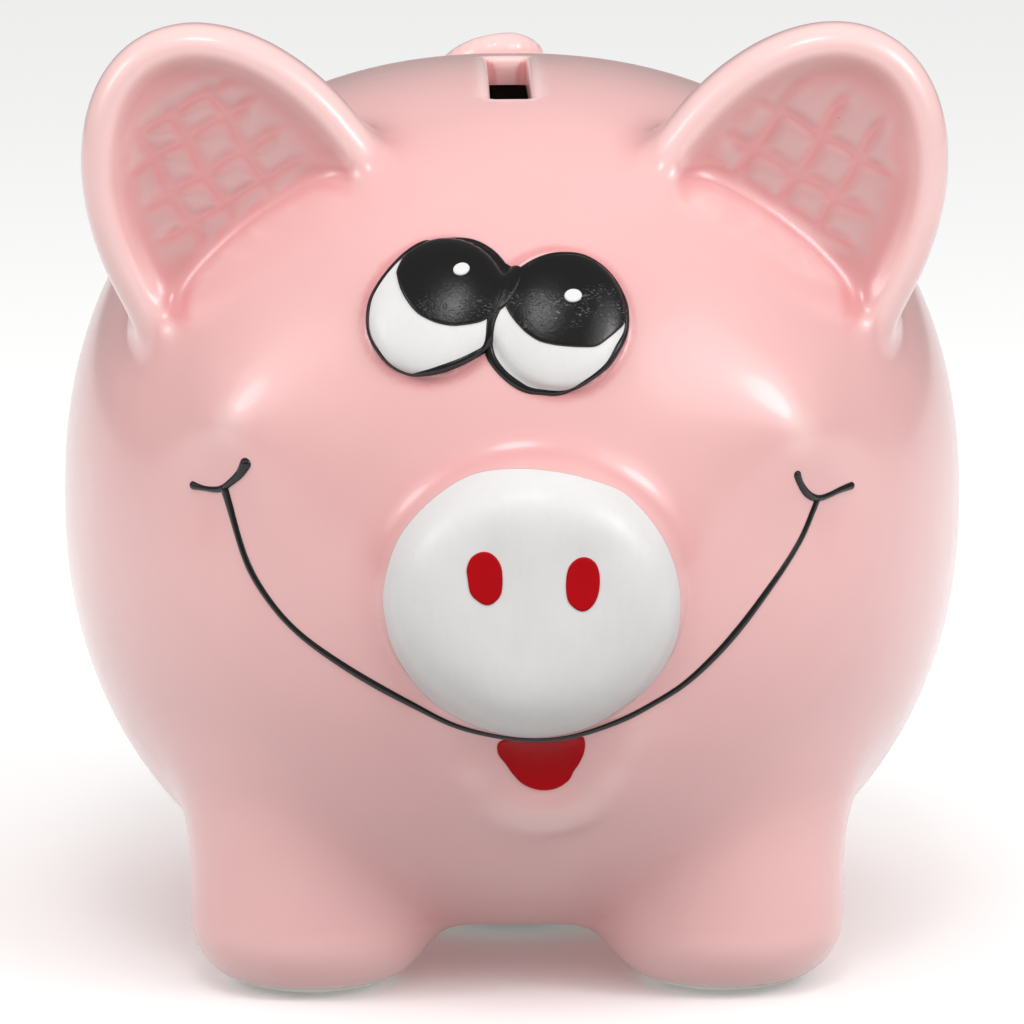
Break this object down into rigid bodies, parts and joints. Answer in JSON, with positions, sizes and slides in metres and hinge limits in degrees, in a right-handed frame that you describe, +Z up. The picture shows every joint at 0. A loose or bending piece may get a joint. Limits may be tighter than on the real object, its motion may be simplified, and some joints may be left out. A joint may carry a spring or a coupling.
{
  "type": "piggy bank",
  "caption": "Hollow glazed ceramic pig that stands on stub legs, with a coin slot in its back, cupped ears, a drum snout, a painted face and a rubber stopper in its belly.",
  "frame": {"origin": "on the surface the bank stands on, under the middle of its outline", "axes": "+Z up, -Y the way the snout faces, +X towards the right of someone who looks at the face"},
  "size_m": [0.1332, 0.1692, 0.1382],
  "materials": {
    "glaze": "clear gloss over pink",
    "bisque": "unglazed",
    "white_paint": "satin film on the glaze",
    "black_paint": "gloss film on the glaze",
    "red_paint": "satin film on the glaze",
    "rubber": "matte, soft white"
  },
  "bodies": {
    "bank": {"body_shell": "glaze", "snout": "glaze", "lower_lip": "glaze", "ear_left": "glaze", "ear_right": "glaze", "leg_front_left": "glaze", "leg_front_right": "glaze", "leg_rear_left": "glaze", "leg_rear_right": "glaze", "bare_feet": "bisque", "tail": "glaze", "eye_left": "white_paint", "eye_right": "white_paint", "pupil_left": "black_paint", "pupil_right": "black_paint", "eye_outline": "black_paint", "eye_glints": "white_paint", "snout_paint": "white_paint", "nostril_left": "red_paint", "nostril_right": "red_paint", "smile_line": "black_paint", "dimple_marks": "black_paint", "tongue_paint": "red_paint"},
    "stopper": {"stopper": "rubber"}
  },
  "joints": [
    {"name": "stopper_pull", "type": "slide", "parent": "bank", "child": "stopper", "axis": [0, 0, -1], "range_m": [0, 0.02]}
  ]
}
